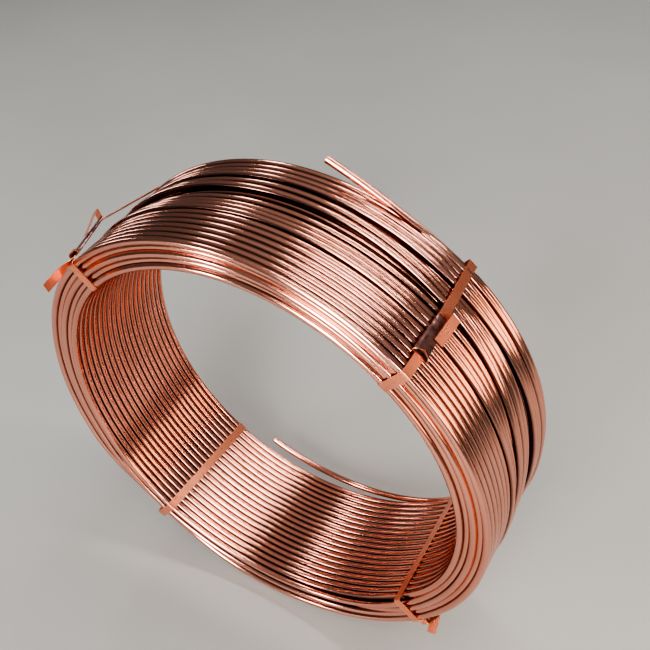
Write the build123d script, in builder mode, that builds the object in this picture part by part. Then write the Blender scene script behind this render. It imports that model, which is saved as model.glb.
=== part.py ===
from build123d import *
import os
from math import cos, degrees, radians, sin

# Level-wound copper tube coil lying on its side, held by four flat metal straps.
# Millimetres. The origin is the centre of the coil on its axis.
# +Y runs along the axis from the front end to the back end, and +Z is up.
# Angles round the axis are measured from +Z towards +X.

# The tube and its winding
TUBE_DIAMETER = 12.7
TUBE_WALL = 0.8
BORE_RADIUS = 373.0
LAYERS = 5
TURNS_ACROSS = 20

# Two raised turns on the outside, in tube widths from the front end, and the sunk turns between
RIDGE_RISE = 4.0
RIDGE_PLACES = (7.5, 12.5)
SUNK_DEPTH = 3.5

# Grooves between turns, in tube widths from the front end
GROOVE_DEPTH = 5.0
OUTER_GROOVES = (4, 17)
BORE_GROOVES = (5, 10, 15)

# The outer end springs off the last turn in a flatter bend
OUTER_END_LENGTH = 276.0
OUTER_END_RADIUS = 1065.0
OUTER_END_DRIFT = 5.8

# The inner end peels off the bore's last turn and runs out past the back end
INNER_END_LEAD = 15.0
INNER_END_LENGTH = 582.0
INNER_END_DRIFT = 5.1
END_INSET = 2.0
OPEN_DEPTH = 30.0
END_SIDES = 12

# The straps and their seals
STRAP_WIDTH = 16.0
STRAP_THICKNESS = 0.8
SEAT_GAP = 0.3
FIT_GAP = 0.2
SEAL_LENGTH = 76.0
SEAL_WALL = 1.0
SEAL_FLARE = 7.0
SEAL_FLARE_ANGLE = 24.0
NOTCH_SIZE = 4.0
NOTCH_DEPTH = 0.8
NOTCH_STEP = 25.0

# Where each strap crosses, how far its seal stands from the front end and how steeply
STRAP_ANGLES = {"strap_1": 311.6, "strap_2": 38.1, "strap_3": 129.4, "strap_4": 214.0}
SEAL_STARTS = {"strap_1": 24.0, "strap_2": 43.0, "strap_3": 20.0, "strap_4": 43.0}
SEAL_ANGLES = {"strap_1": 12.0, "strap_2": 0.0, "strap_3": 0.0, "strap_4": 0.0}

# Tails that stick out of a seal's mouth
TAIL_LENGTHS = {"strap_1": 76.0, "strap_3": 32.0, "strap_4": 24.0}
TAIL_ANGLES = {"strap_1": 5.0, "strap_3": 80.0, "strap_4": 14.0}
TAIL_LEAD = 5.0

# Tails that fold up behind a seal and come forward beside it
FOLDED_STRAPS = ("strap_1", "strap_2")
FOLD_LEAD = 4.0
FOLD_RISE = 18.0
FOLD_ASIDE = 18.0
FOLD_LENGTH = 57.0
FOLD_ANGLE = 16.0

# Worked out from the sizes above
tube_radius = TUBE_DIAMETER / 2
layer_step = TUBE_DIAMETER * sin(radians(60))
first_layer = BORE_RADIUS + tube_radius
last_layer = first_layer + (LAYERS - 1) * layer_step
outer_radius = last_layer + tube_radius
half_width = TURNS_ACROSS * TUBE_DIAMETER / 2
ridge_top = outer_radius + RIDGE_RISE
end_turn_place = half_width - tube_radius


def direction(angle):
    """Outward direction at an angle round the axis."""
    return Vector(sin(radians(angle)), 0, cos(radians(angle)))


def heading(angle):
    """Direction in which angles grow, at an angle round the axis."""
    return direction(angle + 90)


def section_plane(angle):
    """Plane through the axis: x outwards, y along the coil."""
    outward = direction(angle)
    return Plane(origin=(0, 0, 0), x_dir=outward, z_dir=outward.cross(Vector(0, 1, 0)))


def on_turn(layer, side, turn):
    """Point on a layer's end turn, by its angle from the end direction towards the outside."""
    out = tube_radius * sin(radians(turn))
    end = tube_radius * cos(radians(turn))
    return first_layer + layer * layer_step + out, side * (end_turn_place + end)


def end_stops(side):
    """Corners of the turns that stand out on one end, with the nested layers between them."""
    stops = []
    for layer in range(LAYERS):
        if layer % 2 == 0:
            stops += [on_turn(layer, side, turn) for turn in (-90, -30, 30, 90)]
    return stops


def groove(place, radius, side):
    """Corners of a groove between two turns, cut towards the middle of the winding."""
    along = place * TUBE_DIAMETER - half_width
    return [
        (radius, along - tube_radius),
        (radius - side * GROOVE_DEPTH, along),
        (radius, along + tube_radius),
    ]


def bore_stops():
    """Corners of the bore's wall from back to front."""
    stops = []
    for place in BORE_GROOVES:
        stops += groove(place, BORE_RADIUS, -1)
    return reversed(stops)


def outer_stops():
    """Corners of the outer wall from front to back: raised turns with sunk ones between."""
    front, back = [place * TUBE_DIAMETER - half_width for place in RIDGE_PLACES]
    crown = tube_radius / 2
    return [
        *groove(OUTER_GROOVES[0], outer_radius, 1),
        (outer_radius, front - 2 * tube_radius),
        (outer_radius - GROOVE_DEPTH, front - tube_radius),
        (ridge_top, front - crown),
        (ridge_top, front + crown),
        (outer_radius - SUNK_DEPTH, front + TUBE_DIAMETER),
        (outer_radius - SUNK_DEPTH, back - TUBE_DIAMETER),
        (ridge_top, back - crown),
        (ridge_top, back + crown),
        (outer_radius - GROOVE_DEPTH, back + TUBE_DIAMETER),
        (outer_radius, back + 2 * TUBE_DIAMETER),
        *groove(OUTER_GROOVES[1], outer_radius, 1),
    ]


def bend_plane(angle, radius, along, way, drift):
    """Plane of a loose end's bend: x along the tube as it leaves, y towards the bend's centre."""
    outward = direction(angle)
    leaving = heading(angle) * way * cos(radians(drift)) + Vector(0, sin(radians(drift)), 0)
    start = outward * radius + Vector(0, along, 0)
    return Plane(origin=start, x_dir=leaving, z_dir=leaving.cross(outward * -1))


def bend_route(plane, radius, start, turn):
    """Stretch of a bend in its plane, by its start and turn in degrees."""
    with BuildLine(plane) as route:
        CenterArc((0, radius), radius, start - 90, turn)
    return route.line


def tube_along(route, radius, mode=Mode.ADD):
    """Sweeps a tube's many-sided section along a route."""
    with BuildSketch(Plane(origin=route @ 0, z_dir=route % 0)) as section:
        RegularPolygon(radius, END_SIDES)
    sweep(section.sketch, path=route, mode=mode)


# Routes of the two loose ends and of the open stretch at each cut
outer_plane = bend_plane(
    STRAP_ANGLES["strap_2"],
    last_layer - END_INSET,
    end_turn_place - END_INSET,
    -1,
    -OUTER_END_DRIFT,
)
outer_turn = degrees(OUTER_END_LENGTH / OUTER_END_RADIUS)
outer_open = degrees(OPEN_DEPTH / OUTER_END_RADIUS)
outer_end = bend_route(outer_plane, OUTER_END_RADIUS, 0, outer_turn)
outer_opening = bend_route(
    outer_plane, OUTER_END_RADIUS, outer_turn - outer_open, outer_open
)
inner_radius = first_layer + END_INSET
inner_plane = bend_plane(
    STRAP_ANGLES["strap_3"] - INNER_END_LEAD,
    inner_radius,
    end_turn_place - END_INSET,
    1,
    INNER_END_DRIFT,
)
inner_turn = degrees(INNER_END_LENGTH / inner_radius)
inner_open = degrees(OPEN_DEPTH / inner_radius)
inner_end = bend_route(inner_plane, inner_radius, 0, inner_turn)
inner_opening = bend_route(
    inner_plane, inner_radius, inner_turn - inner_open, inner_open
)

# The wound tube: one turned solid and the two loose ends
with BuildPart() as tube_coil:
    with BuildSketch(Plane.XY):
        with BuildLine():
            Polyline(
                *end_stops(-1),
                *outer_stops(),
                *reversed(end_stops(1)),
                *bore_stops(),
                close=True,
            )
        make_face()
    revolve(axis=Axis.Y)
    for route in (outer_end, inner_end):
        tube_along(route, tube_radius)
    for route in (outer_opening, inner_opening):
        tube_along(route, tube_radius - TUBE_WALL, Mode.SUBTRACT)
tube_coil.part.label = "tube_coil"


# The straps, with each seal's own plane
strap_radius = ridge_top + SEAT_GAP + SEAL_WALL + FIT_GAP
strap_corner = tube_radius + SEAT_GAP
lap_height = STRAP_THICKNESS * 1.5
half_strap = STRAP_WIDTH / 2
fold_place = SEAL_LENGTH + FOLD_LEAD


def seat_point(name, place):
    """Radius and place along the coil of a point on a strap's inner face under its seal."""
    slope = radians(SEAL_ANGLES[name])
    mouth = SEAL_STARTS[name] - half_width
    return strap_radius + place * sin(slope), mouth + place * cos(slope)


def seat_plane(name):
    """Plane at a seal's mouth: x back along the strap, y outwards, z in the way angles grow."""
    slope = radians(SEAL_ANGLES[name])
    outward = direction(STRAP_ANGLES[name])
    radius, along = seat_point(name, 0)
    back = Vector(0, cos(slope), 0) + outward * sin(slope)
    return Plane(
        origin=outward * radius + Vector(0, along, 0),
        x_dir=back,
        z_dir=heading(STRAP_ANGLES[name]),
    )


def strap_corners(name):
    """Corners of a strap's inner face round the coil's section, from the bore's front."""
    bore = BORE_RADIUS - SEAT_GAP
    front = -half_width - SEAT_GAP
    back = half_width + SEAT_GAP
    edge = outer_radius + SEAT_GAP
    lift_end = (strap_radius, RIDGE_PLACES[-1] * TUBE_DIAMETER - half_width + tube_radius)
    if SEAL_ANGLES[name] > 0:
        lift_end = seat_point(name, fold_place)
    corners = [(bore, front), (edge, front), seat_point(name, -half_strap), lift_end, (edge, back)]
    if name == "strap_3":
        past_lead = INNER_END_LEAD + degrees(half_strap / first_layer)
        rise = inner_radius * sin(radians(past_lead)) * sin(radians(INNER_END_DRIFT))
        held = back - END_INSET + rise
        return corners + [(BORE_RADIUS + 2 * TUBE_DIAMETER, held), (bore, held)]
    return corners + [(bore, back)]


def lap_line(name):
    """Line of a strap's second layer, from behind the seal to its mouth or its tail's tip."""
    back = fold_place if name in FOLDED_STRAPS else SEAL_LENGTH
    if name not in TAIL_LENGTHS:
        Line((back, lap_height), (0, lap_height))
        return
    bend = -SEAL_FLARE - TAIL_LEAD
    rise = radians(TAIL_ANGLES[name])
    length = TAIL_LENGTHS[name]
    tip = (bend - length * cos(rise), lap_height + length * sin(rise))
    FilletPolyline((back, lap_height), (bend, lap_height), tip, radius=TAIL_LEAD)


def fold_tail(name):
    """Tail folded up and aside behind the seal, then forward beside it."""
    seat = seat_plane(name)
    slope = radians(FOLD_ANGLE)
    corner = seat.origin + seat.x_dir * fold_place
    with BuildSketch(Plane(origin=corner, x_dir=seat.z_dir, z_dir=seat.x_dir * -1)) as riser:
        with BuildLine():
            Polyline(
                (-half_strap, STRAP_THICKNESS),
                (half_strap, STRAP_THICKNESS),
                (FOLD_ASIDE + half_strap, FOLD_RISE),
                (FOLD_ASIDE - half_strap, FOLD_RISE),
                close=True,
            )
        make_face()
    extrude(riser.sketch, amount=STRAP_THICKNESS)
    forward = seat.x_dir * -cos(slope) - seat.y_dir * sin(slope)
    top = corner + seat.y_dir * FOLD_RISE + seat.z_dir * FOLD_ASIDE
    middle = top + forward * (FOLD_LENGTH / 2)
    with BuildSketch(Plane(origin=middle, x_dir=forward, z_dir=forward.cross(seat.z_dir))) as panel:
        Rectangle(FOLD_LENGTH, STRAP_WIDTH)
    extrude(panel.sketch, amount=STRAP_THICKNESS / 2, both=True)


def make_strap(name):
    """A closed loop of flat strap with its second layer and its tails."""
    with BuildPart() as strap:
        with BuildSketch(section_plane(STRAP_ANGLES[name])):
            with BuildLine():
                FilletPolyline(*strap_corners(name), radius=strap_corner, close=True)
            inside = make_face()
            offset(amount=STRAP_THICKNESS)
            add(inside, mode=Mode.SUBTRACT)
        extrude(amount=half_strap, both=True)
        with BuildSketch(seat_plane(name)) as lap:
            with BuildLine():
                lap_line(name)
            trace(line_width=STRAP_THICKNESS)
        extrude(lap.sketch, amount=half_strap, both=True)
        if name in FOLDED_STRAPS:
            fold_tail(name)
    strap.part.label = name
    return strap.part


def make_seal(name):
    """A crimped sleeve round the strap's two layers, flared at its front mouth."""
    seat = seat_plane(name)
    inner_height = 2 * STRAP_THICKNESS + 2 * FIT_GAP
    inner_width = STRAP_WIDTH + 2 * FIT_GAP
    outer_width = inner_width + 2 * SEAL_WALL
    start = seat.origin + seat.y_dir * STRAP_THICKNESS
    top = STRAP_THICKNESS + inner_height / 2
    flare = radians(SEAL_FLARE_ANGLE)
    lip = (-SEAL_FLARE * cos(flare), top + SEAL_FLARE * sin(flare))
    with BuildPart() as seal:
        with BuildSketch(Plane(origin=start, x_dir=seat.z_dir * -1, z_dir=seat.x_dir)):
            Rectangle(outer_width, inner_height + 2 * SEAL_WALL)
            Rectangle(inner_width, inner_height, mode=Mode.SUBTRACT)
        extrude(amount=SEAL_LENGTH)
        with BuildSketch(seat.offset(-outer_width / 2)):
            with BuildLine():
                Polyline(
                    (0, top),
                    lip,
                    (lip[0], lip[1] + SEAL_WALL),
                    (0, top + SEAL_WALL),
                    close=True,
                )
            make_face()
        extrude(amount=outer_width)
        with BuildSketch(Plane(origin=start, x_dir=seat.x_dir, z_dir=seat.y_dir)):
            aside = outer_width / 2 - NOTCH_DEPTH + NOTCH_SIZE * sin(radians(45))
            with Locations(*[(step * NOTCH_STEP, side * aside) for step in (1, 2) for side in (-1, 1)]):
                Rectangle(NOTCH_SIZE, NOTCH_SIZE, rotation=45)
        extrude(amount=2 * inner_height, both=True, mode=Mode.SUBTRACT)
    seal.part.label = name.replace("strap", "seal")
    return seal.part


straps = [make_strap(name) for name in STRAP_ANGLES]
seals = [make_seal(name) for name in STRAP_ANGLES]

os.makedirs("parts", exist_ok=True)
for piece in [tube_coil.part] + straps + seals:
    export_step(piece, f"parts/{piece.label}.step")
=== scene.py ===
import math
import random

import bmesh
import bpy
from mathutils import Matrix, Vector


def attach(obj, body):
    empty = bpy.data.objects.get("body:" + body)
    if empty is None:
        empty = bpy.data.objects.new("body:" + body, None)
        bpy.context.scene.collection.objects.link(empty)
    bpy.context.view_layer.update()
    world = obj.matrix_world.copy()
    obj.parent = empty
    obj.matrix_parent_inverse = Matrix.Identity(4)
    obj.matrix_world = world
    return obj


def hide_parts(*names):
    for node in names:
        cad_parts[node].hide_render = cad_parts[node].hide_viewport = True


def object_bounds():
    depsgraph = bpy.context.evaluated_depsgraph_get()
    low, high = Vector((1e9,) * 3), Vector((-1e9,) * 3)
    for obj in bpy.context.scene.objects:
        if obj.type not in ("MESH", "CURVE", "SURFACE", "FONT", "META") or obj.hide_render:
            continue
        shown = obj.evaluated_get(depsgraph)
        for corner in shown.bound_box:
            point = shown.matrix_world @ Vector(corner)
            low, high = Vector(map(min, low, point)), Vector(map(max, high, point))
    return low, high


bl_info = {
    "name": "Copper tube coil",
    "version": (1, 0, 0),
    "blender": (4, 5, 0),
    "location": "3D View > Sidebar > Coil",
    "description": "Dresses a level-wound copper tube coil with its straps and seals",
    "category": "Object",
}

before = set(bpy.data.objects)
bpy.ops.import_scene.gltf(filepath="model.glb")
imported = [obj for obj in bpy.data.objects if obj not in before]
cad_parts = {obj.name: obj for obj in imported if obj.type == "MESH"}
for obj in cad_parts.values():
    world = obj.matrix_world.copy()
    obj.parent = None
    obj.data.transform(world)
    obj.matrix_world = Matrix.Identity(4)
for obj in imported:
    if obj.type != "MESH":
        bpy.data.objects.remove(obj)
cad_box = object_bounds()

# Where each strap crosses: angle in degrees from the top towards +X
STRAP_ANGLES = {"1": 311.6, "2": 38.1, "3": 129.4, "4": 214.0}

# How far each seal's front mouth stands from the front end, in metres
SEAL_STARTS = {"1": 0.024, "2": 0.043, "3": 0.020, "4": 0.043}

# How far each seal leans up towards the back, in degrees
SEAL_SLOPES = {"1": 12.0, "2": 0.0, "3": 0.0, "4": 0.0}

# Angles between which the turns of each layer step over to the next place
OUTER_STEP = (245.0, 215.0)
BORE_STEP = (140.0, 98.0)

# Angles at which the straying turns of the outer layer are given
STRAY_ANGLES = (-30, 10, 33, 50, 68, 80, 88)

# How far those turns stray along the coil and outwards at these angles, in millimetres
STRAYS = {
    7: ((0, 0, -0.8, -0.8, -0.5, 0, 1), (3.5, 3.5, 3.5, 3.5, 3.5, 3.5, 3.5)),
    8: ((0, -0.9, -0.9, -1.5, -3.5, -4.5, -5), (0.8, 0.8, 0.8, 0.8, 0.8, 0.8, 0.8)),
    9: ((-3, -3.3, -3.3, -1, -5.5, -7, -8), (0, 0, -1, -1, -1, -1, -1)),
    10: ((2, 2.2, 2.2, -0.4, -8.4, -13, -16), (-4, -4, -4, -1, -3, -8, -10)),
    11: ((13, 13.1, 7.1, 0.1, -12.9, -22, -28), (4, 4, 4, 4, 4, 4, 3)),
    12: ((17, 18.4, 8.8, 0, -11, -21, -28), (1, 1.5, 1, 0, 0, 0, 0)),
    13: ((12, 12.5, 8, -1, -9.5, -18, -25), (-5, -5, -4, 0, 0, 0, 0)),
    14: ((5, 5, 5, -2.6, -9.6, -19, -26), (-10, -11, -8, 0, 0, 0, 0)),
    15: ((0, 0, 0, 1.5, 6.5, 7, 7), (1.5, 1.5, 1.5, 0.5, 0, 0, 0)),
    16: ((0, 0, 0, 0.5, 3.5, 4, 4), (0, 0, 0, -1, 0, 0, 0)),
    17: ((-0.8, -0.8, -0.8, -2.5, -2.5, 0, 0), (0, 0, 0, -2, 0, 0, 0)),
    18: ((-4, -4.5, -4.5, -5.5, -5, -4, -4), (2.5, 2.5, 2.5, 2.5, 2.5, 2.5, 2.5)),
    19: ((0, 0, -8.1, -8.1, -3, -3, -3), (0, 0, 0, 1, 0, 0, 0)),
}

# How far each strap leans aside as it goes back, as a slope
STRAP_LEANS = {"1": 0.0, "2": -0.044, "3": 0.0, "4": -0.040}

# Straps with a tail folded forward beside the seal
FOLDED_TAILS = ("1", "2")

# Slope and length of a folded tail, and how far above and beside the seal's seat its fold is
FOLDED_SLOPE = 12
FOLDED_REACH = 0.051
FOLDED_UP = 0.018
FOLDED_ASIDE = 0.012

# How far back of a seal's mouth its folded tail and its front tail start, inside it
FOLDED_START = 0.040
FRONT_START = 0.030

# Tails that leave a seal's mouth: how far back of it and outwards, in millimetres,
# and how far twisted, in degrees
FRONT_TAILS = {
    "1": ((-12, 1.2, 0), (-24, 2.2, 14), (-36, 3.3, 38), (-50, 4.5, 58), (-85.5, 7.6, 62)),
    "3": ((-12, 1.2, 0), (-12, 12, 0), (6, 16, 25), (20, 19, 55), (16, 21.5, -60), (-16, 29, -62)),
    "4": ((-12, 1.2, 0), (-35, 7, 0)),
}

# How far a strap stands off the back end where the tube's inner end passes under it, in metres
STAND_OFFS = {"3": 0.0145}

# Gap between a strap and the turns it is drawn over, and how far the raised turns lift it
STRAP_GAP = 0.0003
STRAP_LIFT = 0.0055

# Last raised turn, and how far past its middle a level strap bends down, in metres
RAISED_LAST = 12
RAISED_EDGE = 0.0064

# Bend radius of a strap round the coil, and of a tail at its folds
STRAP_BEND = 0.005
TAIL_BEND = 0.0014

# How far past a seal's back end its strap bends down and its folded tail turns up
PAST_SEAL = 0.004

# Sections of a seal: how far back of its mouth, half its width, its top and its bottom,
# in millimetres
SEAL_SECTIONS = (
    (-7.0, 14.6, 8.4, -0.9),
    (-3.5, 13.6, 5.6, -0.9),
    (0.0, 12.8, 4.4, -0.9),
    (6.0, 12.6, 3.9, -0.9),
    (22.0, 12.2, 3.7, -0.9),
    (40.0, 11.2, 3.4, -0.9),
    (49.0, 10.6, 3.2, -0.9),
    (51.5, 9.4, 2.4, -0.9),
    (54.0, 10.3, 3.2, -0.9),
    (61.0, 10.0, 3.1, -0.9),
    (63.5, 9.0, 2.3, -0.9),
    (66.0, 9.8, 3.1, -0.9),
    (76.0, 9.3, 3.0, -0.9),
)
SEAL_SIDES = 24
SEAL_WALL = 0.0009

# Height of a seal's middle above its seat in millimetres, the powers that square its section
# off across and upwards, and how deep its lip is cut back, as a share of the lip's length
SEAL_MIDDLE = 0.8
SEAL_SQUARE_ACROSS = 0.55
SEAL_SQUARE_UP = 0.6
LIP_NOTCH = 1.2

# Edges that turn by less than this angle are shaded smooth, in radians
SMOOTH_ANGLE = 0.6

# Sides of the tube's mesh, and degrees from one point of its route to the next
TUBE_SIDES = 14
ROUTE_STEP = 2.5

# Share of its full diameter at which the tube is drawn, so turns that touch don't cut each other
TUBE_FIT = 0.985

# How far the turns wander of themselves, in metres: most of them, and the bore's
WANDER = 0.0004
BORE_WANDER = 0.0003

# Rings of a tube's points along which an open end is hollow
OPEN_RINGS = 4

# Steps of the tube's own map to a metre of tube
MAP_STEPS = 10

# How many tube radii deep the end turns reach, how open their skin counts at its sides at least,
# and by how much more where it faces out of the end, which sets the copper's painted crevice shade
# there
END_DEPTH = 2.4
END_LEAST = 0.32
END_SHARE = 0.68

# Angle at which the end turns start, degrees they run for, and the spans of that run over which
# they come out of the layer, climb to the next one and go in again
RING_START = 190.0
RING_RUN = 730
RING_OUT = (25, 70)
RING_CLIMB = (360, 410)
RING_IN = (680, 725)

# Share of a tube by which every other layer's end turn lies in
RING_SUNK = 0.27

# The turns under the raised and straying ones: where the first starts, and how many they are
UNDER_ANGLE = 150.0
UNDER_TURN = 7
UNDER_COUNT = 11

# How far the hidden core stays inside the middle of the layer under the outer one, and in from
# the coil's ends, in tubes, and how many flats go round it
CORE_INSIDE = 0.2
CORE_IN = 1.15
CORE_STEPS = 120

# Degrees before strap 3 at which the tube's inner end starts to leave the bore
INNER_BEFORE = 15.0

# Points along each loose end
OUTER_END_POINTS = 18
INNER_END_POINTS = 36

# How far the wound layers have settled inwards on the left side, in metres,
# and the angles at which they start to, have done, start back and are back
DIP_DEPTH = 0.0035
DIP_ANGLES = (224, 260, 272, 306)

# Angles between which the strays fade in and out
STRAY_IN = (-115, -60)
STRAY_OUT = (90, 150)

# Where the strays have faded: the turns over which a ridge comes up and goes down, and its
# height in metres
RIDGE_UP = (7.9, 8.15)
RIDGE_DOWN = (12.75, 13.0)
RIDGE_HEIGHT = 0.0036

# Soft panels: place, target, width, height, power and colour
WARM = (1.0, 0.74, 0.54)
WHITE = (1.0, 0.98, 0.96)
LIGHTS = {
    "Overhead": ((0.8, 1.3, 3.0), (0.8, 1.3, 0), 2.8, 0.18, 48, WHITE),
    "Overhead front": ((0.8, -1.25, 3.0), (0.4, 0, 0), 2.6, 0.1, 10, WHITE),
    "Front": ((0.35, -3.2, 1.5), (0, 0, 0.1), 1.4, 2.3, 140, WHITE),
    "Front right": ((2.0, -2.35, 1.35), (0, 0, 0), 0.45, 0.45, 14, WHITE),
    "Back": ((0.2, 4.0, 1.5), (0, 0, 0), 2.4, 0.3, 14, WHITE),
    "Left": ((-3.2, 0.5, 0.65), (0, 0, 0.1), 0.25, 0.9, 7, WHITE),
    "Low left": ((-1.95, -2.85, 0.6), (0, 0, -0.3), 0.35, 0.8, 26, WHITE),
    "Back left": ((-2.0, 1.55, 2.2), (0, 0, 0), 0.5, 0.5, 10, WHITE),
    "Right": ((2.7, -1.0, 0.8), (0, 0, 0), 3.2, 0.9, 26, WARM),
    "Back right": ((2.7, 1.25, 1.0), (0, 0, 0), 0.4, 1.3, 16, WARM),
}

# Colours of the room's glow, from straight down to straight up
ROOM_STOPS = (
    (0.0, (0.07, 0.07, 0.08)),
    (0.45, (0.09, 0.09, 0.10)),
    (0.75, (0.14, 0.14, 0.14)),
    (1.0, (0.34, 0.34, 0.33)),
)

# The floor's half width, and how far back its middle lies
FLOOR_REACH = 7.0
FLOOR_BACK = 1.0

# The camera: where it stands, the ways that are right and up in its view, its lens and shift
CAMERA_PLACE = (0.5790, -0.8821, 1.2084)
CAMERA_RIGHT = (0.87265, 0.48835, 0.0)
CAMERA_UP = (-0.33874, 0.60529, 0.72033)
CAMERA_LENS = 49.664
CAMERA_SHIFT = -0.0092


# Settings


class CoilSizes(bpy.types.PropertyGroup):
    tube_diameter: bpy.props.FloatProperty(
        name="Tube diameter",
        description="Outside diameter of the tube",
        default=0.0127,
        min=0.003,
        precision=5,
        unit="LENGTH",
    )
    tube_wall: bpy.props.FloatProperty(
        name="Tube wall",
        description="Thickness of the tube's wall",
        default=0.0008,
        min=0.0002,
        precision=5,
        unit="LENGTH",
    )
    bore_radius: bpy.props.FloatProperty(
        name="Bore radius",
        description="Radius of the bore inside the first layer",
        default=0.373,
        min=0.05,
        precision=4,
        unit="LENGTH",
    )
    layers: bpy.props.IntProperty(
        name="Layers",
        description="Number of layers, nested half a tube apart",
        default=5,
        min=3,
    )
    turns: bpy.props.IntProperty(
        name="Turns",
        description="Number of turns across the coil's width",
        default=20,
        min=18,
    )
    outer_end_length: bpy.props.FloatProperty(
        name="Outer end length",
        description="Length of the loose outer end",
        default=0.273,
        min=0.05,
        unit="LENGTH",
    )
    outer_end_bend: bpy.props.FloatProperty(
        name="Outer end bend",
        description="Bend radius of the loose outer end",
        default=1.065,
        min=0.3,
        unit="LENGTH",
    )
    outer_end_drift: bpy.props.FloatProperty(
        name="Outer end drift",
        description="Angle by which the outer end leans towards the front",
        default=math.radians(4.5),
        subtype="ANGLE",
    )
    inner_end_length: bpy.props.FloatProperty(
        name="Inner end length",
        description="Length of the inner end from where it starts to leave the bore",
        default=0.582,
        min=0.05,
        unit="LENGTH",
    )
    inner_end_drift: bpy.props.FloatProperty(
        name="Inner end drift",
        description="Angle by which the inner end leans out past the back",
        default=math.radians(5.1),
        subtype="ANGLE",
    )
    strap_width: bpy.props.FloatProperty(
        name="Strap width",
        description="Width of the flat metal strap",
        default=0.016,
        min=0.005,
        precision=4,
        unit="LENGTH",
    )
    strap_thickness: bpy.props.FloatProperty(
        name="Strap thickness",
        description="Thickness of the flat metal strap",
        default=0.0008,
        min=0.0003,
        precision=5,
        unit="LENGTH",
    )
    seal_length: bpy.props.FloatProperty(
        name="Seal length",
        description="Length of a seal along its strap",
        default=0.076,
        min=0.02,
        precision=4,
        unit="LENGTH",
    )


class CoilColours(bpy.types.PropertyGroup):
    copper: bpy.props.FloatVectorProperty(
        name="Copper",
        description="Colour of the clean drawn tube",
        default=(0.86, 0.43, 0.33),
        size=3,
        min=0.0,
        max=1.0,
        subtype="COLOR",
    )
    tarnish: bpy.props.FloatVectorProperty(
        name="Tarnish",
        description="Colour of the tube where it has dulled",
        default=(0.72, 0.30, 0.21),
        size=3,
        min=0.0,
        max=1.0,
        subtype="COLOR",
    )
    strap: bpy.props.FloatVectorProperty(
        name="Strap",
        description="Colour of the satin metal strap",
        default=(0.72, 0.265, 0.16),
        size=3,
        min=0.0,
        max=1.0,
        subtype="COLOR",
    )
    seal: bpy.props.FloatVectorProperty(
        name="Seal",
        description="Colour of the darkened seal",
        default=(0.16, 0.085, 0.075),
        size=3,
        min=0.0,
        max=1.0,
        subtype="COLOR",
    )
    floor: bpy.props.FloatVectorProperty(
        name="Floor",
        description="Colour of the floor",
        default=(0.40, 0.40, 0.39),
        size=3,
        min=0.0,
        max=1.0,
        subtype="COLOR",
    )


def sizes():
    return bpy.context.scene.coil_sizes


def colours():
    return bpy.context.scene.coil_colours


# Small helpers


def ease(value):
    """Smooth step from 0 to 1."""
    value = min(max(value, 0.0), 1.0)
    return value * value * (3 - 2 * value)


def ease_over(span, value):
    """Smooth step from 0 at the start of a span to 1 at its end."""
    start, end = span
    return ease((value - start) / (end - start))


def at(angle, radius, along):
    """Point by its angle round the axis, its radius and its place along the coil."""
    turn = math.radians(angle)
    return Vector((radius * math.sin(turn), along, radius * math.cos(turn)))


def half_width():
    return sizes().turns * sizes().tube_diameter / 2


def layer_radius(layer):
    """Radius of a layer's tube centres."""
    size = sizes()
    step = size.tube_diameter * math.sin(math.radians(60))
    return size.bore_radius + size.tube_diameter / 2 + layer * step


def turn_place(turn):
    """Place along the coil of a turn counted from the front end, in a layer that stands out."""
    return (turn + 0.5) * sizes().tube_diameter - half_width()


# Materials


def new_material(name):
    """A new material, with its nodes and its links."""
    material = bpy.data.materials.new(name)
    material.use_nodes = True
    return material, material.node_tree.nodes, material.node_tree.links


def add_node(nodes, kind, place, **values):
    node = nodes.new(kind)
    node.location = place
    for name, value in values.items():
        setattr(node, name, value)
    return node


def add_noise(nodes, links, vector, place, scale, detail=3.0, roughness=0.55):
    noise = add_node(nodes, "ShaderNodeTexNoise", place)
    noise.inputs["Scale"].default_value = scale
    noise.inputs["Detail"].default_value = detail
    noise.inputs["Roughness"].default_value = roughness
    links.new(vector, noise.inputs["Vector"])
    return noise.outputs["Fac"]


def add_ramp(nodes, links, value, place, stops):
    ramp = add_node(nodes, "ShaderNodeValToRGB", place)
    elements = ramp.color_ramp.elements
    while len(elements) < len(stops):
        elements.new(0.5)
    for element, (position, shade) in zip(elements, stops):
        element.position = position
        element.color = (*shade, 1.0)
    links.new(value, ramp.inputs["Fac"])
    return ramp.outputs["Color"]


def add_range(nodes, links, value, place, taken, given):
    """A value moved from one range to another."""
    spread = add_node(nodes, "ShaderNodeMapRange", place)
    spread.inputs["From Min"].default_value, spread.inputs["From Max"].default_value = taken
    spread.inputs["To Min"].default_value, spread.inputs["To Max"].default_value = given
    links.new(value, spread.inputs["Value"])
    return spread.outputs["Result"]


def blended(nodes, links, first, second, place, share):
    """Two values mixed, with the second's share."""
    mix = add_node(nodes, "ShaderNodeMix", place, data_type="FLOAT")
    mix.inputs["Factor"].default_value = share
    links.new(first, mix.inputs["A"])
    links.new(second, mix.inputs["B"])
    return mix.outputs["Result"]


def add_bump(nodes, links, height, place, strength, distance):
    bump = add_node(nodes, "ShaderNodeBump", place)
    bump.inputs["Strength"].default_value = strength
    bump.inputs["Distance"].default_value = distance
    links.new(height, bump.inputs["Height"])
    return bump.outputs["Normal"]


def add_attribute(nodes, name):
    """Value that the mesh holds at each of its points."""
    attribute = add_node(nodes, "ShaderNodeAttribute", (-850, 350), attribute_name=name)
    return attribute.outputs["Fac"]


def toned(colour, share):
    """A colour made darker or lighter by a share."""
    return tuple(min(1.0, part * share) for part in colour)


def mapped(nodes, links, source, place, scale):
    """Coordinates stretched by a scale each way."""
    mapping = add_node(nodes, "ShaderNodeMapping", place)
    mapping.inputs["Scale"].default_value = scale
    links.new(source, mapping.inputs["Vector"])
    return mapping.outputs["Vector"]


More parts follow.
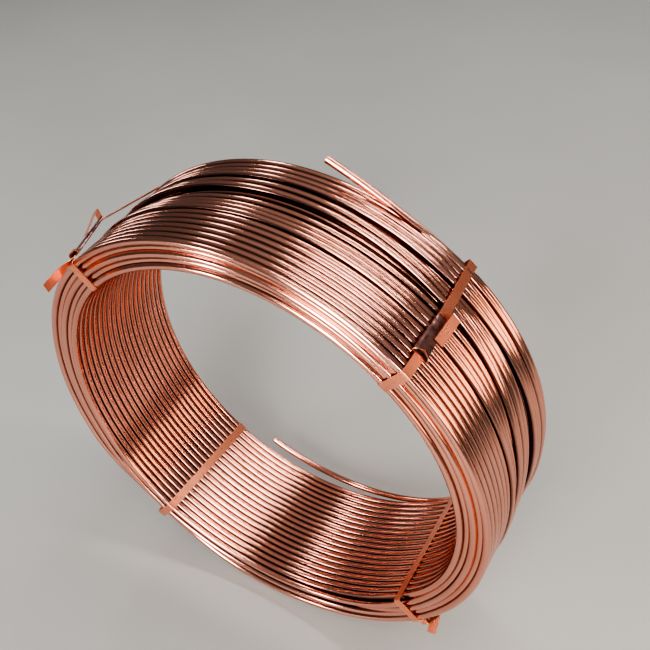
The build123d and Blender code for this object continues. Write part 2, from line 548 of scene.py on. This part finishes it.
def copper_material():
    """Bright drawn copper: long streaks along the tube, dull patches, and painted shade that
    darkens the crevices between turns.
    """
    material, nodes, links = new_material("Drawn copper")
    shader = nodes["Principled BSDF"]
    shader.inputs["Metallic"].default_value = 1.0
    tube = add_node(nodes, "ShaderNodeUVMap", (-1500, 0), uv_map="TubeMap").outputs["UV"]
    place = add_node(nodes, "ShaderNodeTexCoord", (-1500, -300)).outputs["Object"]
    along = mapped(nodes, links, tube, (-1300, 100), (0.5, 9.0, 1.0))
    streaks = add_noise(nodes, links, along, (-1100, 100), scale=1.0)
    patches = add_noise(nodes, links, place, (-1100, -150), scale=7.0, detail=4.0)
    dulling = blended(nodes, links, patches, streaks, (-850, 0), share=0.45)
    tones = [(0.36, tuple(colours().copper)), (0.72, tuple(colours().tarnish))]
    shade = add_ramp(nodes, links, dulling, (-600, 150), tones)
    # Painted shade: the copper is multiplied darker where a tube's skin faces the tubes beside it
    # rather than out of the coil
    openness = add_attribute(nodes, "Openness")
    painted_shade = add_node(nodes, "ShaderNodeMix", (-300, 200), data_type="RGBA", blend_type="MULTIPLY")
    painted_shade.inputs["Factor"].default_value = 1.0
    # Multipliers of the painted shade, from the darkest crevice to the open skin
    crevice_shade = [
        (0.24, (0.10, 0.06, 0.055)),
        (0.58, (0.48, 0.55, 0.61)),
        (0.78, (1.0, 1.0, 1.0)),
    ]
    links.new(shade, painted_shade.inputs["A"])
    links.new(add_ramp(nodes, links, openness, (-600, 400), crevice_shade), painted_shade.inputs["B"])
    links.new(painted_shade.outputs["Result"], shader.inputs["Base Color"])
    rough = add_range(nodes, links, dulling, (-600, -150), (0.3, 0.75), (0.12, 0.20))
    links.new(rough, shader.inputs["Roughness"])
    finer = mapped(nodes, links, tube, (-1300, -500), (1.2, 6.0, 1.0))
    fine = add_noise(nodes, links, finer, (-1100, -500), scale=1.0, detail=1.0)
    bump = add_bump(nodes, links, fine, (-400, -400), strength=0.03, distance=0.0003)
    links.new(bump, shader.inputs["Normal"])
    return material


def strap_material():
    """Satin copper-coloured band with fine rolling lines and duller patches."""
    material, nodes, links = new_material("Satin strap")
    shader = nodes["Principled BSDF"]
    shader.inputs["Metallic"].default_value = 0.8
    strap = add_node(nodes, "ShaderNodeUVMap", (-1500, 0), uv_map="StrapMap").outputs["UV"]
    place = add_node(nodes, "ShaderNodeTexCoord", (-1500, -300)).outputs["Object"]
    rolled = mapped(nodes, links, strap, (-1300, 100), (6.0, 260.0, 1.0))
    lines = add_noise(nodes, links, rolled, (-1100, 100), scale=1.0)
    patches = add_noise(nodes, links, place, (-1100, -150), scale=34.0, detail=4.0)
    wear = blended(nodes, links, patches, lines, (-850, 0), share=0.4)
    base = tuple(colours().strap)
    tones = [(0.3, toned(base, 0.78)), (0.5, base), (0.75, toned(base, 1.1))]
    shade = add_ramp(nodes, links, wear, (-600, 150), tones)
    links.new(shade, shader.inputs["Base Color"])
    rough = add_range(nodes, links, wear, (-600, -150), (0.3, 0.7), (0.34, 0.24))
    links.new(rough, shader.inputs["Roughness"])
    bump = add_bump(nodes, links, lines, (-400, -400), strength=0.06, distance=0.0002)
    links.new(bump, shader.inputs["Normal"])
    return material


def seal_material():
    """Darkened seal with a mottled skin and a bared lip."""
    material, nodes, links = new_material("Darkened seal")
    shader = nodes["Principled BSDF"]
    shader.inputs["Metallic"].default_value = 0.85
    place = add_node(nodes, "ShaderNodeTexCoord", (-1500, -100)).outputs["Object"]
    mottle = add_noise(nodes, links, place, (-1100, 0), scale=90.0, detail=5.0, roughness=0.65)
    base = tuple(colours().seal)
    tones = [(0.35, base), (0.62, toned(base, 1.5)), (0.8, toned(base, 2.6))]
    shade = add_ramp(nodes, links, mottle, (-600, 150), tones)
    bared = add_attribute(nodes, "Bared")
    worn = add_node(nodes, "ShaderNodeMix", (-300, 200), data_type="RGBA")
    worn.inputs["B"].default_value = (*colours().strap, 1.0)
    links.new(bared, worn.inputs["Factor"])
    links.new(shade, worn.inputs["A"])
    links.new(worn.outputs["Result"], shader.inputs["Base Color"])
    rough = add_range(nodes, links, mottle, (-600, -150), (0.3, 0.7), (0.22, 0.42))
    links.new(rough, shader.inputs["Roughness"])
    drawn = mapped(nodes, links, place, (-1300, -400), (300.0, 60.0, 300.0))
    scratches = add_noise(nodes, links, drawn, (-1100, -400), scale=1.0)
    bump = add_bump(nodes, links, scratches, (-400, -400), strength=0.2, distance=0.0003)
    links.new(bump, shader.inputs["Normal"])
    return material


def floor_material():
    """Plain pale floor with a faint cloud."""
    material, nodes, links = new_material("Pale floor")
    shader = nodes["Principled BSDF"]
    place = add_node(nodes, "ShaderNodeTexCoord", (-1300, 0)).outputs["Object"]
    cloud = add_noise(nodes, links, place, (-1100, 0), scale=1.6, detail=5.0)
    base = tuple(colours().floor)
    tones = [(0.3, toned(base, 0.94)), (0.7, base)]
    shade = add_ramp(nodes, links, cloud, (-600, 100), tones)
    links.new(shade, shader.inputs["Base Color"])
    shader.inputs["Roughness"].default_value = 0.65
    return material


def material_named(name, make):
    """The material of that name, made the first time it is asked for."""
    return bpy.data.materials.get(name) or make()


# Pieces


def add_object(name, bm, material):
    """Makes a mesh object of a bmesh and frees it."""
    mesh = bpy.data.meshes.new(name)
    bm.to_mesh(mesh)
    bm.free()
    mesh.materials.append(material)
    thing = bpy.data.objects.new(name, mesh)
    bpy.context.scene.collection.objects.link(thing)
    return thing


def finish_piece(name, bm, material, nodes):
    """Makes a piece of a bmesh, which rides with the coil and stands for CAD nodes."""
    bmesh.ops.recalc_face_normals(bm, faces=bm.faces)
    piece = add_object(name, bm, material)
    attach(piece, "root")
    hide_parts(*nodes)


def shade_smooth(bm):
    """Shades a bmesh smooth but for its sharp edges."""
    for face in bm.faces:
        face.smooth = True
    for edge in bm.edges:
        edge.smooth = edge.calc_face_angle(0.0) < SMOOTH_ANGLE


def tube_mesh(points, length):
    """Round tube along a row of points, with its map by length along it and once round it."""
    curve = bpy.data.curves.new("Route", "CURVE")
    curve.dimensions = "3D"
    curve.bevel_depth = sizes().tube_diameter / 2 * TUBE_FIT
    # A curve's bevel has twice its resolution, plus four, sides
    curve.bevel_resolution = TUBE_SIDES // 2 - 2
    spline = curve.splines.new("POLY")
    spline.points.add(len(points) - 1)
    for point, place in zip(spline.points, points):
        point.co = (*place, 1.0)
    route = bpy.data.objects.new("Route", curve)
    bpy.context.scene.collection.objects.link(route)
    shown = route.evaluated_get(bpy.context.evaluated_depsgraph_get())
    mesh = bpy.data.meshes.new_from_object(shown)
    bpy.data.objects.remove(route)
    mesh.uv_layers[0].name = "TubeMap"
    for corner in mesh.uv_layers[0].data:
        corner.uv = (corner.uv.x * length * MAP_STEPS, corner.uv.y)
    return mesh


def close_end(bm, ring):
    """Closes the tube's end at a ring of its points."""
    edges = {edge for vert in ring for edge in vert.link_edges if edge.is_boundary}
    bmesh.ops.edgeloop_fill(bm, edges=list(edges))


def open_end(bm, rings):
    """Turns the tube's skin in at its cut end and runs the inner wall back along its rings."""
    size = sizes()
    inner = 1 - size.tube_wall / (size.tube_diameter / 2)
    centres = [sum((vert.co for vert in ring), Vector()) / len(ring) for ring in rings]
    edges = list({edge for vert in rings[0] for edge in vert.link_edges if edge.is_boundary})
    for edge in edges:
        edge.smooth = False
    for index, centre in enumerate(centres):
        grown = bmesh.ops.extrude_edge_only(bm, edges=edges)["geom"]
        verts = [part for part in grown if isinstance(part, bmesh.types.BMVert)]
        edges = [
            part
            for part in grown
            if isinstance(part, bmesh.types.BMEdge) and all(vert in verts for vert in part.verts)
        ]
        if index == 0:
            centred = Matrix.Translation(-centre)
            bmesh.ops.scale(bm, vec=(inner, inner, inner), space=centred, verts=verts)
            for edge in edges:
                edge.smooth = False
        else:
            bmesh.ops.translate(bm, vec=centre - centres[index - 1], verts=verts)
    bmesh.ops.edgeloop_fill(bm, edges=edges)
    for face in bm.faces:
        face.smooth = True


def mark_open_sides(bm, first, points, side):
    """Marks how far each point of a tube faces out of the coil, and not the tubes beside it; the
    copper paints shade where this is low.
    """
    layer = bm.verts.layers.float.get("Openness") or bm.verts.layers.float.new("Openness")
    bm.verts.ensure_lookup_table()
    reach = sizes().tube_diameter / 2
    outside = layer_radius(sizes().layers) + reach
    end_turns = half_width() - reach * END_DEPTH
    for index, centre in enumerate(points):
        flat = Vector((centre.x, 0.0, centre.z))
        outward = flat.normalized() * side
        end = math.copysign(1.0, centre.y) if abs(centre.y) > end_turns else 0.0
        free = abs(centre.y) > half_width() + reach or flat.length > outside
        for corner in range(TUBE_SIDES):
            vert = bm.verts[first + index * TUBE_SIDES + corner]
            offset = (vert.co - centre) / reach
            faced_end = END_LEAST + END_SHARE * offset.y * end if end else 0.0
            vert[layer] = 1.0 if free else max(offset.dot(outward), faced_end)


def add_tube(bm, points, side, start_open=False, finish_open=False):
    """Adds a tube along a row of points to a bmesh, with its ends closed or cut open."""
    length = sum((b - a).length for a, b in zip(points, points[1:]))
    mesh = tube_mesh(points, length)
    first = len(bm.verts)
    bm.from_mesh(mesh)
    bpy.data.meshes.remove(mesh)
    mark_open_sides(bm, first, points, side)
    count = len(points)

    def ring(index):
        start = first + index * TUBE_SIDES
        return [bm.verts[start + corner] for corner in range(TUBE_SIDES)]

    starts = [ring(index) for index in range(OPEN_RINGS)]
    finishes = [ring(count - 1 - index) for index in range(OPEN_RINGS)]
    if start_open:
        open_end(bm, starts)
    else:
        close_end(bm, starts[0])
    if finish_open:
        open_end(bm, finishes)
    else:
        close_end(bm, finishes[0])


def waver(seed, amount):
    """A gentle wander by angle, of four waves, the same every run."""
    rng = random.Random(seed)
    waves = [
        (rng.randint(1, most), rng.uniform(0, 360), rng.uniform(0.4, 1.0)) for most in (3, 6, 9, 12)
    ]

    def wander(angle):
        total = sum(
            height * math.sin(math.radians(count * angle + phase)) for count, phase, height in waves
        )
        return amount * total / 2

    return wander


def bend_points(start_angle, radius, along, way, drift, bend, length, count):
    """Points of a loose end: an arc in a leaning plane that leaves the coil at an angle."""
    outward = at(start_angle, 1.0, 0.0)
    round_coil = at(start_angle + 90, 1.0, 0.0)
    leaving = round_coil * way * math.cos(drift) + Vector((0, math.sin(drift), 0))
    start = at(start_angle, radius, along)
    points = []
    for index in range(count + 1):
        turned = length * index / count / bend
        ahead = leaving * bend * math.sin(turned)
        points.append(start + ahead - outward * bend * (1 - math.cos(turned)))
    return points


def through(angles, values, angle):
    """Value at an angle of a smooth curve through values at rising angles."""
    if angle <= angles[0]:
        return values[0]
    if angle >= angles[-1]:
        return values[-1]
    after = next(index for index, stop in enumerate(angles) if stop > angle)
    near = max(after - 2, 0), after - 1, after, min(after + 1, len(angles) - 1)
    width = angles[after] - angles[after - 1]
    slopes = [
        (values[high] - values[low]) / (angles[high] - angles[low])
        for low, high in ((near[0], near[2]), (near[1], near[3]))
    ]
    part = (angle - angles[after - 1]) / width
    start = (1 + 2 * part) * (1 - part) ** 2 * values[after - 1]
    end = part**2 * (3 - 2 * part) * values[after]
    return start + end + width * part * (1 - part) * (slopes[0] * (1 - part) - slopes[1] * part)


def dip(angle):
    """How far the wound layers have settled inwards on the coil's left side, in metres."""
    angle = angle % 360
    return DIP_DEPTH * ease_over(DIP_ANGLES[:2], angle) * (1 - ease_over(DIP_ANGLES[2:], angle))


def stray(turn, angle):
    """How far a turn of the outer layer strays along the coil and outwards, in metres."""
    fade = ease_over(STRAY_IN, angle) * (1 - ease_over(STRAY_OUT, angle))
    wound = turn + (OUTER_STEP[1] - angle) / 360
    ridge = RIDGE_HEIGHT * ease_over(RIDGE_UP, wound) * (1 - ease_over(RIDGE_DOWN, wound))
    if turn not in STRAYS:
        return 0.0, ridge * (1 - fade)
    drift, rise = (through(STRAY_ANGLES, values, angle) / 1000 for values in STRAYS[turn])
    return drift * fade, rise * fade + ridge * (1 - fade)


def outer_route():
    """Points of the outer layer from the front end to where the loose end leaves."""
    size = sizes()
    radius = layer_radius(size.layers - 1)
    lift = layer_radius(1) - layer_radius(0)
    leaves = STRAP_ANGLES["2"]
    last = size.turns - 1
    start = OUTER_STEP[1]
    wander = waver(4, WANDER)
    points = []
    travelled = 0.0
    whole = start - leaves + 360 * last
    while travelled < whole - 0.01:
        turn = min(int(travelled / 360), last)
        angle = start - travelled % 360
        moved = ease((OUTER_STEP[0] - 360 - angle) / (OUTER_STEP[0] - OUTER_STEP[1]))
        drift, rise = stray(turn, angle)
        along = turn_place(turn) + size.tube_diameter * moved + drift
        # Each turn reads the wander at an angle of its own, so no two lie alike
        loose = ease(travelled / 360) * ease((whole - travelled) / 90)
        along += wander(angle + turn * 77) * loose
        # The first turn comes up from the layer below
        buried = 1 - ease(travelled / 30)
        outward = rise - dip(angle) + wander(angle + turn * 131 + 40) * 0.6 - buried * lift
        points.append(at(angle, radius + outward, along + buried * size.tube_diameter * 0.25))
        travelled += ROUTE_STEP
    drift, rise = stray(last, leaves)
    points += bend_points(
        start_angle=leaves,
        radius=radius + rise - 0.002,
        along=turn_place(last) + drift,
        way=-1,
        drift=-size.outer_end_drift,
        bend=size.outer_end_bend,
        length=size.outer_end_length,
        count=OUTER_END_POINTS,
    )
    return points


def bore_route():
    """Points of the bore's layer, from the loose inner end to its climb at the front."""
    size = sizes()
    radius = layer_radius(0)
    last = size.turns - 1
    start_angle = STRAP_ANGLES["3"] - INNER_BEFORE
    loose_end = bend_points(
        start_angle=start_angle,
        radius=radius + 0.001,
        along=turn_place(last) - 0.002,
        way=1,
        drift=size.inner_end_drift,
        bend=radius + 0.002,
        length=size.inner_end_length,
        count=INNER_END_POINTS,
    )
    points = list(reversed(loose_end))
    wander = waver(9, BORE_WANDER)
    travelled = ROUTE_STEP
    whole = start_angle + 360 - RING_START + 360 * last
    while travelled < whole:
        angle = start_angle - travelled
        turn, past = divmod(BORE_STEP[0] - angle, 360)
        moved = turn - 1 + ease(past / (BORE_STEP[0] - BORE_STEP[1])) if turn else 0.0
        along = turn_place(last) - size.tube_diameter * moved
        loose = ease(travelled / 90) * ease((whole - travelled) / 90)
        along += wander(angle + turn * 53) * loose
        points.append(at(angle, radius - dip(angle) + wander(angle + 200) * 0.4, along))
        travelled += ROUTE_STEP
    points += ring_points(0, -1, False)
    return points


def ring_place(layer, side):
    """Place along the coil of a layer's end turn: every other layer lies a little in."""
    sunk = sizes().tube_diameter * RING_SUNK if layer % 2 else 0.0
    return side * (half_width() - sizes().tube_diameter / 2 - sunk)


def ring_points(layer, side, full):
    """Points of a layer's end turn, its climb to the next layer's, and that one.

    Unless the route is full, only the climb and the second turn are given.
    """
    size = sizes()
    low, high = layer_radius(layer), layer_radius(layer + 1)
    first, second = ring_place(layer, side), ring_place(layer + 1, side)
    away = -side * size.tube_diameter
    wander = waver(20 + layer * 2 + side, WANDER)
    points = []
    begun = 0.0 if full else 360.0
    travelled = begun
    while travelled < RING_RUN:
        climb = ease_over(RING_CLIMB, travelled)
        hidden = 1 - ease_over(RING_OUT, travelled) + ease_over(RING_IN, travelled)
        angle = RING_START - travelled
        radius = low + (high - low) * climb - dip(angle)
        along = first + (second - first) * climb + away * hidden
        radius += wander(angle) * ease((travelled - begun) / 40)
        points.append(at(angle, radius, along))
        travelled += ROUTE_STEP
    return points


def middle_routes():
    """Points of the turns of the middle layers that show on the ends and under the gaps."""
    size = sizes()
    # The fourth layer's end turn at the back goes no further than its own turn
    own_turn = int(365 / ROUTE_STEP)
    routes = [
        ring_points(2, -1, True),
        ring_points(1, 1, True),
        ring_points(3, 1, True)[:own_turn],
    ]
    wander = waver(31, WANDER)
    radius = layer_radius(size.layers - 2)
    points = []
    travelled = 0.0
    while travelled < 360 * UNDER_COUNT:
        angle = UNDER_ANGLE - travelled
        along = turn_place(UNDER_TURN) + size.tube_diameter * (travelled / 360 + 0.5)
        outward = 0.001 + wander(angle * 1.3) - dip(angle)
        points.append(at(angle, radius + outward, along + wander(angle + 50)))
        travelled += ROUTE_STEP
    routes.append(points)
    return routes


def make_core(bm):
    """The hidden layers as one turned ring between the layers that show."""
    size = sizes()
    tube = size.tube_diameter
    inside = layer_radius(0)
    outside = layer_radius(size.layers - 2) - tube * CORE_INSIDE
    reach = half_width() - tube * CORE_IN
    section = ((inside, -reach), (outside, -reach), (outside, reach), (inside, reach))
    corners = [bm.verts.new(at(0, radius, along)) for radius, along in section]
    edges = [bm.edges.new((corners[index - 1], corners[index])) for index in range(4)]
    bmesh.ops.spin(
        bm,
        geom=corners + edges,
        cent=(0, 0, 0),
        axis=(0, 1, 0),
        angle=math.tau,
        steps=CORE_STEPS,
        use_merge=True,
    )


class COIL_OT_turns(bpy.types.Operator):
    """Winds the copper tube: its outer layer, its bore's layer and the turns between them"""

    bl_idname = "coil.turns"
    bl_label = "Wind the tube"

    def execute(self, context):
        copper = material_named("Drawn copper", copper_material)
        groups = (
            ("turns_outer", [outer_route()], 1, False, True),
            ("turns_bore", [bore_route()], -1, True, False),
            ("turns_middle", middle_routes(), 1, False, False),
        )
        for name, routes, side, start_open, finish_open in groups:
            bm = bmesh.new()
            for points in routes:
                add_tube(bm, points, side, start_open, finish_open)
            finish_piece(name, bm, copper, ["tube_coil"])
        # The core holds no Openness, so the copper's painted shade makes it darkest all over
        core = bmesh.new()
        make_core(core)
        finish_piece("core", core, copper, ["tube_coil"])
        return {"FINISHED"}


# Straps and seals


def strap_radius():
    """Radius of a strap's inner face where it passes over the raised turns."""
    return layer_radius(sizes().layers - 1) + sizes().tube_diameter / 2 + STRAP_LIFT


def strap_side(number):
    """The way angles grow where a strap crosses, which is across the strap."""
    return at(STRAP_ANGLES[number] + 90, 1.0, 0.0)


def section_point(number, radius, along, aside=0.0):
    """Point of a strap's middle line, by its radius and its place along the coil."""
    lean = STRAP_LEANS[number] * along
    return at(STRAP_ANGLES[number], radius, along) + strap_side(number) * (aside + lean)


def seat_point(number, back, up, aside=0.0):
    """Point seen from a seal's seat: how far back of its mouth, outwards and aside."""
    slope = math.radians(SEAL_SLOPES[number])
    mouth = SEAL_STARTS[number] - half_width()
    radius = strap_radius() + back * math.sin(slope) + up * math.cos(slope)
    along = mouth + back * math.cos(slope) - up * math.sin(slope)
    return section_point(number, radius, along, aside)


def ribbon(bm, number, places, rounding, closed=False):
    """Flat band through a row of places and twists, folded over at each with a small radius."""
    size = sizes()
    layer = bm.loops.layers.uv.get("StrapMap") or bm.loops.layers.uv.new("StrapMap")
    rows = []
    for index, (place, twist) in enumerate(places):
        run = place - places[index - 1][0]
        across = strap_side(number) * size.strap_width / 2
        across.rotate(Matrix.Rotation(math.radians(twist), 3, run))
        rows.append((bm.verts.new(place - across), bm.verts.new(place + across)))
    pairs = list(zip(rows, rows[1:])) + ([(rows[-1], rows[0])] if closed else [])
    faces = []
    run = 0.0
    for near, far in pairs:
        face = bmesh.ops.contextual_create(bm, geom=[*near, *far])["faces"][0]
        length = (far[0].co - near[0].co).length
        for loop in face.loops:
            loop[layer].uv = (
                run + (length if loop.vert in far else 0.0),
                size.strap_width if loop.vert in (near[1], far[1]) else 0.0,
            )
        run += length
        faces.append(face)
    folds = [bm.edges.get(row) for row in rows]
    folds = [edge for edge in folds if edge.is_manifold]
    bmesh.ops.recalc_face_normals(bm, faces=faces)
    bmesh.ops.bevel(
        bm,
        geom=folds,
        offset=rounding,
        offset_type="OFFSET",
        segments=5,
        profile=0.5,
        affect="EDGES",
        material=-1,
    )
    bmesh.ops.solidify(bm, geom=list(bm.faces), thickness=size.strap_thickness)
    shade_smooth(bm)


def strap_loop(number):
    """Places of a strap's middle line round the coil's section, from the bore's front."""
    size = sizes()
    gap = STRAP_GAP + size.strap_thickness / 2
    bore = size.bore_radius - gap
    front = -half_width() - gap
    back = half_width() + gap
    edge = layer_radius(size.layers - 1) + size.tube_diameter / 2 + gap
    up = size.strap_thickness / 2
    loop = [
        section_point(number, bore, front),
        section_point(number, edge, front),
        seat_point(number, -size.strap_width / 2, up),
    ]
    if SEAL_SLOPES[number]:
        loop.append(seat_point(number, size.seal_length + PAST_SEAL, up))
    else:
        level = turn_place(RAISED_LAST) + RAISED_EDGE
        loop.append(section_point(number, strap_radius() + up, level))
    loop.append(section_point(number, edge, back))
    if number in STAND_OFFS:
        held = back + STAND_OFFS[number]
        loop.append(section_point(number, size.bore_radius + size.tube_diameter * 2, held))
        loop.append(section_point(number, bore, held))
    else:
        loop.append(section_point(number, bore, back))
    return [(place, 0) for place in loop]


def strap_tails(number):
    """Places and twists of a strap's free ends, each from inside the seal."""
    size = sizes()
    up = size.strap_thickness * 1.5
    behind = size.seal_length + PAST_SEAL
    tails = []
    if number in FOLDED_TAILS:
        slope = math.radians(FOLDED_SLOPE)
        tip = behind - FOLDED_REACH * math.cos(slope)
        tip_up = FOLDED_UP - FOLDED_REACH * math.sin(slope)
        tails.append(
            [
                (seat_point(number, FOLDED_START, up), 0),
                (seat_point(number, behind, up), 0),
                (seat_point(number, behind, FOLDED_UP, FOLDED_ASIDE), 0),
                (seat_point(number, tip, tip_up, FOLDED_ASIDE), 0),
            ]
        )
    if number in FRONT_TAILS:
        tail = [(seat_point(number, FRONT_START, up), 0)]
        for back, rise, twist in FRONT_TAILS[number]:
            tail.append((seat_point(number, back / 1000, rise / 1000), twist))
        tails.append(tail)
    return tails


class COIL_OT_straps(bpy.types.Operator):
    """Makes the four flat straps round the coil's section, with their free ends"""

    bl_idname = "coil.straps"
    bl_label = "Make the straps"

    def execute(self, context):
        material = material_named("Satin strap", strap_material)
        for number in STRAP_ANGLES:
            whole = bmesh.new()
            bands = [(strap_loop(number), STRAP_BEND, True)]
            bands += [(tail, TAIL_BEND, False) for tail in strap_tails(number)]
            for places, rounding, closed in bands:
                bm = bmesh.new()
                ribbon(bm, number, places, rounding, closed)
                part = bpy.data.meshes.new("Part")
                bm.to_mesh(part)
                bm.free()
                whole.from_mesh(part)
                bpy.data.meshes.remove(part)
            finish_piece(f"strap_{number}_shown", whole, material, [f"strap_{number}"])
        return {"FINISHED"}


class COIL_OT_seals(bpy.types.Operator):
    """Makes the four crimped seals, each flared at its front mouth"""

    bl_idname = "coil.seals"
    bl_label = "Make the seals"

    def execute(self, context):
        material = material_named("Darkened seal", seal_material)
        for number in STRAP_ANGLES:
            bm = bmesh.new()
            make_seal(bm, number)
            finish_piece(f"seal_{number}_shown", bm, material, [f"seal_{number}"])
        return {"FINISHED"}


def make_seal(bm, number):
    """A sleeve folded round the two strap layers: flared in front, crimped twice behind."""
    previous = None
    bared = bm.verts.layers.float.new("Bared")
    for back, half, top, bottom in SEAL_SECTIONS:
        ring = bmesh.ops.create_circle(bm, segments=SEAL_SIDES, radius=1.0)["verts"]
        # The lip is bare and the flare behind it is partly so
        for vert in ring:
            vert[bared] = 1.0 if back < -6 else (0.25 if back < 0 else 0.0)
        edges = list({edge for vert in ring for edge in vert.link_edges})
        for vert in ring:
            aside = math.copysign(abs(vert.co.x) ** SEAL_SQUARE_ACROSS, vert.co.x)
            up = math.copysign(abs(vert.co.y) ** SEAL_SQUARE_UP, vert.co.y)
            rise = SEAL_MIDDLE + (top if up > 0 else -bottom) * up
            notch = max(0.0, -back) * max(0.0, up) * (1 - abs(aside)) * LIP_NOTCH
            place = (back + notch) / 1000, rise / 1000, aside * half / 1000
            vert.co = seat_point(number, *place)
        if previous:
            bmesh.ops.bridge_loops(bm, edges=previous + edges)
        previous = edges
    bmesh.ops.recalc_face_normals(bm, faces=bm.faces)
    bmesh.ops.solidify(bm, geom=list(bm.faces), thickness=SEAL_WALL)
    shade_smooth(bm)


# Stage


class COIL_OT_stage(bpy.types.Operator):
    """Lays the pale floor, hangs the soft lights and sets the camera"""

    bl_idname = "coil.stage"
    bl_label = "Set the stage"

    def execute(self, context):
        lay_floor()
        for name, settings in LIGHTS.items():
            hang_light(name, *settings)
        light_room()
        set_camera()
        return {"FINISHED"}


def lay_floor():
    """A wide floor under the coil."""
    bm = bmesh.new()
    bmesh.ops.create_grid(bm, x_segments=1, y_segments=1, size=FLOOR_REACH)
    bmesh.ops.translate(bm, vec=(0, FLOOR_BACK, cad_box[0][2]), verts=bm.verts)
    add_object("floor", bm, material_named("Pale floor", floor_material))


def hang_light(name, place, target, width, height, power, shade):
    """A soft panel that faces its target."""
    light = bpy.data.lights.new(name, "AREA")
    light.shape = "RECTANGLE"
    light.size = width
    light.size_y = height
    light.energy = power
    light.color = shade
    lamp = bpy.data.objects.new(name, light)
    lamp.location = place
    lamp.rotation_euler = (Vector(target) - Vector(place)).to_track_quat("-Z", "Y").to_euler()
    bpy.context.scene.collection.objects.link(lamp)


def light_room():
    """The room's own faint glow, brighter towards the ceiling, and how the view is developed."""
    world = bpy.data.worlds.new("Soft room")
    world.use_nodes = True
    nodes, links = world.node_tree.nodes, world.node_tree.links
    way = add_node(nodes, "ShaderNodeTexCoord", (-900, 0)).outputs["Generated"]
    height = add_node(nodes, "ShaderNodeSeparateXYZ", (-700, 0))
    links.new(way, height.inputs["Vector"])
    upward = add_range(nodes, links, height.outputs["Z"], (-550, 0), (-1, 1), (0, 1))
    glow = add_ramp(nodes, links, upward, (-350, 0), ROOM_STOPS)
    links.new(glow, nodes["Background"].inputs["Color"])
    nodes["Background"].inputs["Strength"].default_value = 1.0
    scene = bpy.context.scene
    scene.world = world
    scene.view_settings.view_transform = "AgX"
    scene.view_settings.look = "AgX - High Contrast"


def set_camera():
    """Camera at eye height, looking down at the front end from the right."""
    camera = bpy.data.cameras.new("Camera")
    camera.sensor_width = 36.0
    camera.lens = CAMERA_LENS
    camera.shift_x = CAMERA_SHIFT
    viewer = bpy.data.objects.new("Camera", camera)
    right = Vector(CAMERA_RIGHT)
    up = Vector(CAMERA_UP)
    turned = Matrix((right, up, right.cross(up))).transposed()
    viewer.matrix_world = Matrix.Translation(CAMERA_PLACE) @ turned.to_4x4()
    bpy.context.scene.collection.objects.link(viewer)
    bpy.context.scene.camera = viewer


class COIL_PT_panel(bpy.types.Panel):
    """Lists the coil's sizes and colours, and the buttons that make its pieces and set the stage"""

    bl_idname = "COIL_PT_panel"
    bl_label = "Copper tube coil"
    bl_space_type = "VIEW_3D"
    bl_region_type = "UI"
    bl_category = "Coil"

    def draw(self, context):
        layout = self.layout
        for group in (context.scene.coil_sizes, context.scene.coil_colours):
            column = layout.column()
            for name in group.__annotations__:
                column.prop(group, name)
        for operator in (COIL_OT_turns, COIL_OT_straps, COIL_OT_seals, COIL_OT_stage):
            layout.operator(operator.bl_idname)


CLASSES = (
    CoilSizes,
    CoilColours,
    COIL_OT_turns,
    COIL_OT_straps,
    COIL_OT_seals,
    COIL_OT_stage,
    COIL_PT_panel,
)


def register():
    for item in CLASSES:
        bpy.utils.register_class(item)
    bpy.types.Scene.coil_sizes = bpy.props.PointerProperty(type=CoilSizes)
    bpy.types.Scene.coil_colours = bpy.props.PointerProperty(type=CoilColours)


def unregister():
    del bpy.types.Scene.coil_colours
    del bpy.types.Scene.coil_sizes
    for item in reversed(CLASSES):
        bpy.utils.unregister_class(item)


def main():
    register()
    bpy.ops.coil.turns()
    bpy.ops.coil.straps()
    bpy.ops.coil.seals()
    bpy.ops.coil.stage()


if __name__ == "__main__":
    main()
